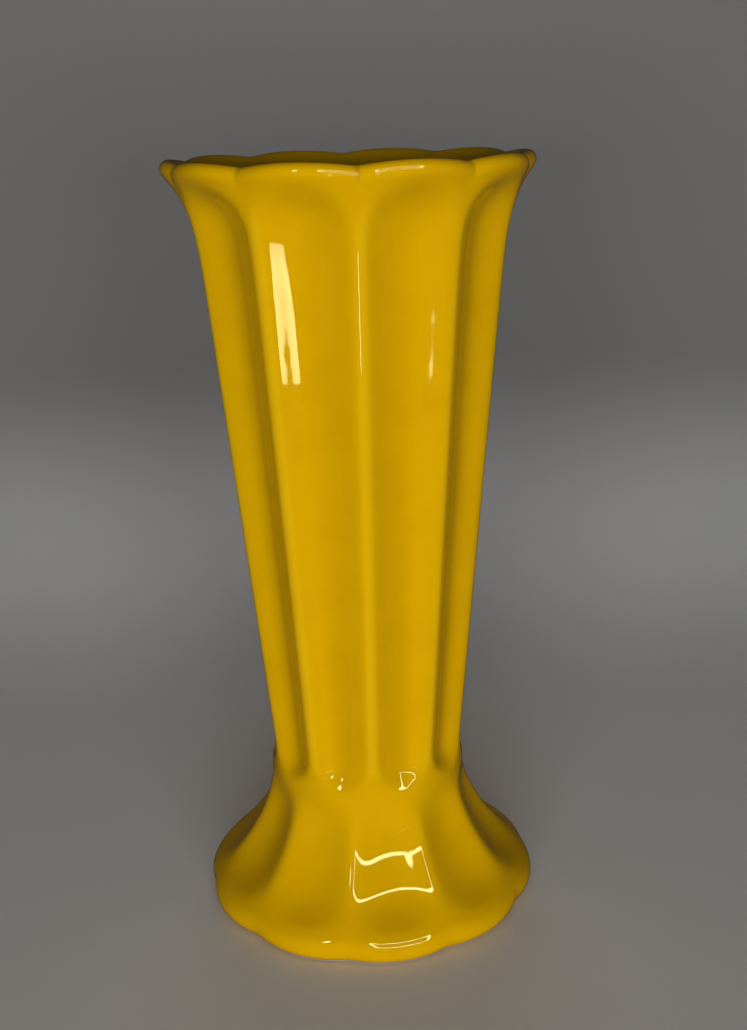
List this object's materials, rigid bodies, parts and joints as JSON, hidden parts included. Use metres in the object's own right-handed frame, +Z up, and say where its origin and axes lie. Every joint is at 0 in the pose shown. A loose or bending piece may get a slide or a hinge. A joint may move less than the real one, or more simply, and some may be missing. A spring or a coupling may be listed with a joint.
{
  "type": "trumpet vase",
  "caption": "Fluted ceramic trumpet vase with a flared scalloped lip and a flared scalloped foot, in deep yellow gloss glaze.",
  "frame": {"origin": "centre of the dry ring that the vase stands on, at the level of the table", "axes": "+Z up along the axis of the flutes, -Y towards the front, +X to the right seen from the front"},
  "size_m": [0.1168, 0.115, 0.2538],
  "materials": {
    "biscuit_clay": "fired white-cream casting clay, dry and slightly chalky where it is bare",
    "luting_slip": "thin fired slip of the same clay",
    "yellow_glaze": "deep opaque yellow gloss glaze"
  },
  "bodies": {
    "root": {"foot": "biscuit_clay", "waist_slip": "luting_slip", "trumpet": "biscuit_clay", "outer_glaze": "yellow_glaze", "inner_glaze": "yellow_glaze"}
  },
  "joints": []
}
